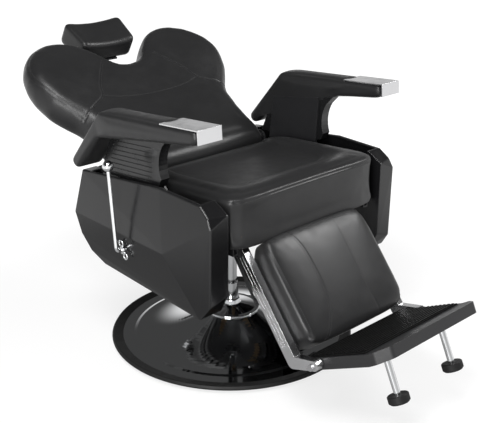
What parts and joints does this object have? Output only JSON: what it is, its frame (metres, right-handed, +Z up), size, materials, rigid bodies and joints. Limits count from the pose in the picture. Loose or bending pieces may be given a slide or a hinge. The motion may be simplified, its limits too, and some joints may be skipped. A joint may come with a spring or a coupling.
{
  "type": "reclining barber chair",
  "caption": "Reclining barber chair: padded butterfly back, headrest, arms with metal caps, side shrouds, raised legrest and footrest, round hydraulic base.",
  "frame": {"origin": "centre of the round base, on the floor", "axes": "+Z up, -Y the way the chair faces, +X the sitter's left"},
  "size_m": [0.7125, 1.27, 0.7792],
  "materials": {
    "black_rubber": "matt",
    "dark_steel": "satin black paint",
    "chrome": "polished",
    "satin_chrome": "brushed and polished",
    "bright_steel": "turned",
    "brass": "turned",
    "plywood": "sanded",
    "black_leather": "soft sheen",
    "black_board": "matt",
    "satin_shroud": "satin",
    "black_panel": "soft gloss",
    "black_knob": "satin",
    "cast_black": "satin black paint"
  },
  "bodies": {
    "base": {"ground_plate": "dark_steel", "base_rim": "black_rubber", "base_dish": "chrome", "base_collar": "chrome", "pump_body": "dark_steel", "pump_bolts": "bright_steel", "pump_barrel": "chrome", "pedal_pin": "bright_steel"},
    "pedal": {"pedal_arm": "chrome", "pedal_pad": "black_rubber"},
    "ram": {"lift_ram": "chrome"},
    "seat": {"swivel_hub": "dark_steel", "seat_frame": "dark_steel", "seat_board": "plywood", "seat_cushion": "black_leather", "arm_bracket_left": "dark_steel", "arm_bracket_right": "dark_steel", "side_shroud_left": "satin_shroud", "side_shroud_right": "satin_shroud", "arm_panel_left": "black_panel", "arm_panel_right": "black_panel", "arm_pad_left": "black_leather", "arm_pad_right": "black_leather", "arm_cap_left": "satin_chrome", "arm_cap_right": "satin_chrome", "lock_cylinder": "dark_steel", "recline_pins": "bright_steel", "legrest_pins": "bright_steel", "stay_pins": "bright_steel", "lever_bush": "brass"},
    "lock_rod": {"lock_rod": "chrome"},
    "back": {"back_frame": "dark_steel", "back_cushion": "black_leather", "back_board": "black_board", "bar_guide": "dark_steel"},
    "knob": {"headrest_knob": "black_knob"},
    "headrest_bar": {"headrest_bar": "chrome"},
    "headrest": {"headrest_bracket": "dark_steel", "headrest_cushion": "black_leather", "headrest_pin": "bright_steel"},
    "legrest": {"legrest_rail_left": "satin_chrome", "legrest_rail_right": "satin_chrome", "legrest_pan": "dark_steel", "legrest_cushion": "black_leather"},
    "stays": {"stay_bars": "dark_steel"},
    "footrest": {"footrest_plate": "cast_black", "footrest_mat": "black_rubber", "footrest_pins": "bright_steel", "footrest_legs": "chrome", "leg_feet": "black_rubber"},
    "lever": {"lever_arm": "chrome", "lever_knob": "chrome", "wing_nut": "chrome"}
  },
  "joints": [
    {"name": "lift", "type": "slide", "parent": "base", "child": "ram", "axis": [0, 0, 1], "range_m": [0, 0.09]},
    {"name": "swivel", "type": "hinge", "parent": "ram", "child": "seat", "pos_m": [0, 0, 0.31], "axis": [0, 0, 1], "continuous": true},
    {"name": "recline", "type": "hinge", "parent": "seat", "child": "back", "pos_m": [0, 0.137, 0.48], "axis": [1, 0, 0], "range_deg": [0, 50]},
    {"name": "lock_slide", "type": "slide", "parent": "seat", "child": "lock_rod", "axis": [0, 1, 0], "range_m": [0, 0.072]},
    {"name": "headrest_slide", "type": "slide", "parent": "back", "child": "headrest_bar", "axis": [0, 0.866, 0.5], "range_m": [0, 0.06]},
    {"name": "clamp_knob", "type": "hinge", "parent": "back", "child": "knob", "pos_m": [0, 0.40387, 0.54219], "axis": [0, -0.5, 0.866], "range_deg": [0, 270]},
    {"name": "headrest_tilt", "type": "hinge", "parent": "headrest_bar", "child": "headrest", "pos_m": [0, 0.55101, 0.67333], "axis": [1, 0, 0], "range_deg": [-12, 30]},
    {"name": "legrest_swing", "type": "hinge", "parent": "seat", "child": "legrest", "pos_m": [0, -0.224, 0.391], "axis": [1, 0, 0], "range_deg": [0, 15]},
    {"name": "stay_swing", "type": "hinge", "parent": "seat", "child": "stays", "pos_m": [0, -0.19, 0.354], "axis": [1, 0, 0], "range_deg": [0, 16.5]},
    {"name": "footrest_flip", "type": "hinge", "parent": "legrest", "child": "footrest", "pos_m": [0, -0.47155, 0.16267], "axis": [-1, 0, 0], "range_deg": [0, 60]},
    {"name": "lever_pull", "type": "hinge", "parent": "seat", "child": "lever", "pos_m": [-0.3, 0.021, 0.336], "axis": [-1, 0, 0], "range_deg": [0, 20]},
    {"name": "pedal_press", "type": "hinge", "parent": "base", "child": "pedal", "pos_m": [0, 0.078, 0.112], "axis": [-1, 0, 0], "range_deg": [0, 14]}
  ],
  "couplings": [
    {"joint": "lock_slide", "follows": "recline", "m_per_rad": 0.08228},
    {"joint": "legrest_swing", "follows": "recline", "ratio": 0.3},
    {"joint": "stay_swing", "follows": "recline", "ratio": 0.326}
  ]
}
